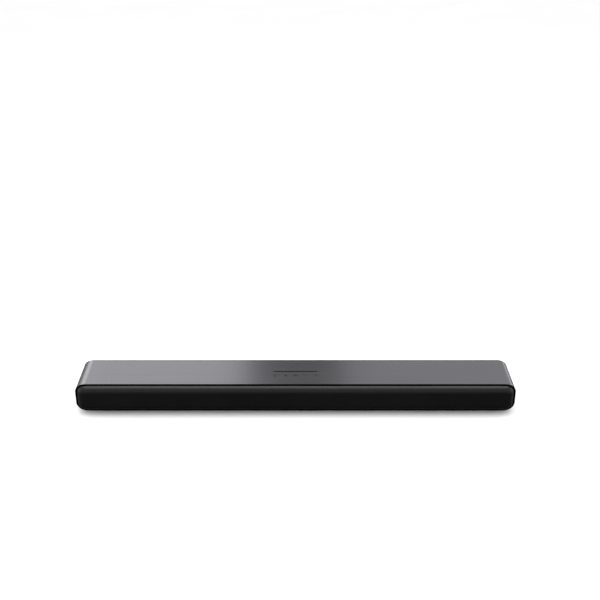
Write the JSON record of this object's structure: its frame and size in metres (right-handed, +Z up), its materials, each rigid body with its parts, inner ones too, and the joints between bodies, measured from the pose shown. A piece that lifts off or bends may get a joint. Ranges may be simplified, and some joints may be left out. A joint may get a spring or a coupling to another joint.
{
  "type": "soundbar",
  "caption": "Slim free-standing television soundbar with a brushed wrap-round cabinet, gloss black rim, proud black grille, flush top keys and a sunk rear connector bay.",
  "frame": {"origin": "middle of the footprint, on the surface that the feet stand on", "axes": "+X along the bar to the listener's right, -Y out of the grille towards the listener, +Z up"},
  "size_m": [0.81, 0.1, 0.06],
  "materials": {
    "brushed_shell": "dark grey metal look with a fine lengthwise brush",
    "cover_plastic": "fine grained black",
    "gloss_rim": "piano black",
    "grille_metal": "satin black, finely perforated",
    "acoustic_cloth": "open weave black cloth",
    "inner_plastic": "plain moulded",
    "diffuser": "smoked translucent",
    "rubber": "matt",
    "board": "green solder mask",
    "connector_metal": "bright plated",
    "connector_plastic": "moulded black",
    "aluminium_fins": "extruded",
    "capacitor_sleeve": "shrunk sleeve",
    "winding_tape": "yellow tape over a grey ferrite core",
    "paper_cone": "pressed pulp",
    "surround_rubber": "soft half roll",
    "basket_steel": "black powder coat",
    "magnet_ferrite": "ground ferrite",
    "spider_cloth": "resin-dipped weave",
    "coil_copper": "enamelled copper wire",
    "silk_dome": "coated silk",
    "screw_steel": "black oxide",
    "insert_brass": "knurled insert",
    "lead_sleeve": "twin insulated lead",
    "ribbon_film": "white film",
    "ir_window": "dark filter resin"
  },
  "bodies": {
    "cabinet": {"aux_jack": "connector_plastic", "baffle": "inner_plastic", "board_screws": "screw_steel", "bottom_cover": "cover_plastic", "cabinet_screws": "screw_steel", "driver_screws": "screw_steel", "filter_capacitors": "capacitor_sleeve", "front_bezel": "gloss_rim", "front_left_foot": "rubber", "front_right_foot": "rubber", "grille": "grille_metal", "grille_cloth": "acoustic_cloth", "heatsink": "aluminium_fins", "ir_receiver": "ir_window", "key_board": "board", "key_ribbon": "ribbon_film", "key_switches": "connector_plastic", "left_speaker_leads": "lead_sleeve", "left_tweeter_faceplate": "basket_steel", "left_tweeter_magnet": "magnet_ferrite", "left_woofer_basket": "basket_steel", "left_woofer_magnet": "magnet_ferrite", "left_woofer_spider": "spider_cloth", "left_woofer_surround": "surround_rubber", "light_bar": "diffuser", "main_board": "board", "optical_socket": "connector_plastic", "power_board": "board", "power_inlet": "connector_plastic", "power_transformer": "winding_tape", "rear_cover": "cover_plastic", "rear_left_foot": "rubber", "rear_right_foot": "rubber", "right_speaker_leads": "lead_sleeve", "right_tweeter_faceplate": "basket_steel", "right_tweeter_magnet": "magnet_ferrite", "right_woofer_basket": "basket_steel", "right_woofer_magnet": "magnet_ferrite", "right_woofer_spider": "spider_cloth", "right_woofer_surround": "surround_rubber", "sensor_board": "board", "top_shell": "brushed_shell", "usb_socket": "connector_metal", "video_socket": "connector_metal", "wall_mount_inserts": "insert_brass", "wireless_module": "board"},
    "power_key": {"power_key": "brushed_shell"},
    "input_key": {"input_key": "brushed_shell"},
    "pairing_key": {"pairing_key": "brushed_shell"},
    "volume_down_key": {"volume_down_key": "brushed_shell"},
    "volume_up_key": {"volume_up_key": "brushed_shell"},
    "left_diaphragm": {"left_woofer_cone": "paper_cone", "left_woofer_dust_cap": "paper_cone", "left_woofer_voice_coil": "coil_copper"},
    "left_tweeter_dome": {"left_tweeter_dome": "silk_dome"},
    "right_diaphragm": {"right_woofer_cone": "paper_cone", "right_woofer_dust_cap": "paper_cone", "right_woofer_voice_coil": "coil_copper"},
    "right_tweeter_dome": {"right_tweeter_dome": "silk_dome"},
    "optical_shutter": {"optical_shutter": "connector_plastic"}
  },
  "joints": [
    {"name": "power_key_press", "type": "slide", "parent": "cabinet", "child": "power_key", "axis": [0, 0, -1], "range_m": [0, 0.0006], "stiffness_N_per_m": 300},
    {"name": "input_key_press", "type": "slide", "parent": "cabinet", "child": "input_key", "axis": [0, 0, -1], "range_m": [0, 0.0006], "stiffness_N_per_m": 300},
    {"name": "pairing_key_press", "type": "slide", "parent": "cabinet", "child": "pairing_key", "axis": [0, 0, -1], "range_m": [0, 0.0006], "stiffness_N_per_m": 300},
    {"name": "volume_down_key_press", "type": "slide", "parent": "cabinet", "child": "volume_down_key", "axis": [0, 0, -1], "range_m": [0, 0.0006], "stiffness_N_per_m": 300},
    {"name": "volume_up_key_press", "type": "slide", "parent": "cabinet", "child": "volume_up_key", "axis": [0, 0, -1], "range_m": [0, 0.0006], "stiffness_N_per_m": 300},
    {"name": "left_woofer_stroke", "type": "slide", "parent": "cabinet", "child": "left_diaphragm", "axis": [0, -1, 0], "range_m": [-0.0025, 0.0025], "stiffness_N_per_m": 200, "deforming": ["left_woofer_surround", "left_woofer_spider"]},
    {"name": "left_tweeter_stroke", "type": "slide", "parent": "cabinet", "child": "left_tweeter_dome", "axis": [0, -1, 0], "range_m": [-0.0003, 0.0003], "stiffness_N_per_m": 60},
    {"name": "right_woofer_stroke", "type": "slide", "parent": "cabinet", "child": "right_diaphragm", "axis": [0, -1, 0], "range_m": [-0.0025, 0.0025], "stiffness_N_per_m": 200, "deforming": ["right_woofer_surround", "right_woofer_spider"]},
    {"name": "right_tweeter_stroke", "type": "slide", "parent": "cabinet", "child": "right_tweeter_dome", "axis": [0, -1, 0], "range_m": [-0.0003, 0.0003], "stiffness_N_per_m": 60},
    {"name": "optical_shutter_pivot", "type": "hinge", "parent": "cabinet", "child": "optical_shutter", "pos_m": [0.016, 0.0364, 0.0235], "axis": [-1, 0, 0], "range_deg": [0, 85], "stiffness_Nm_per_rad": 0.00002}
  ]
}
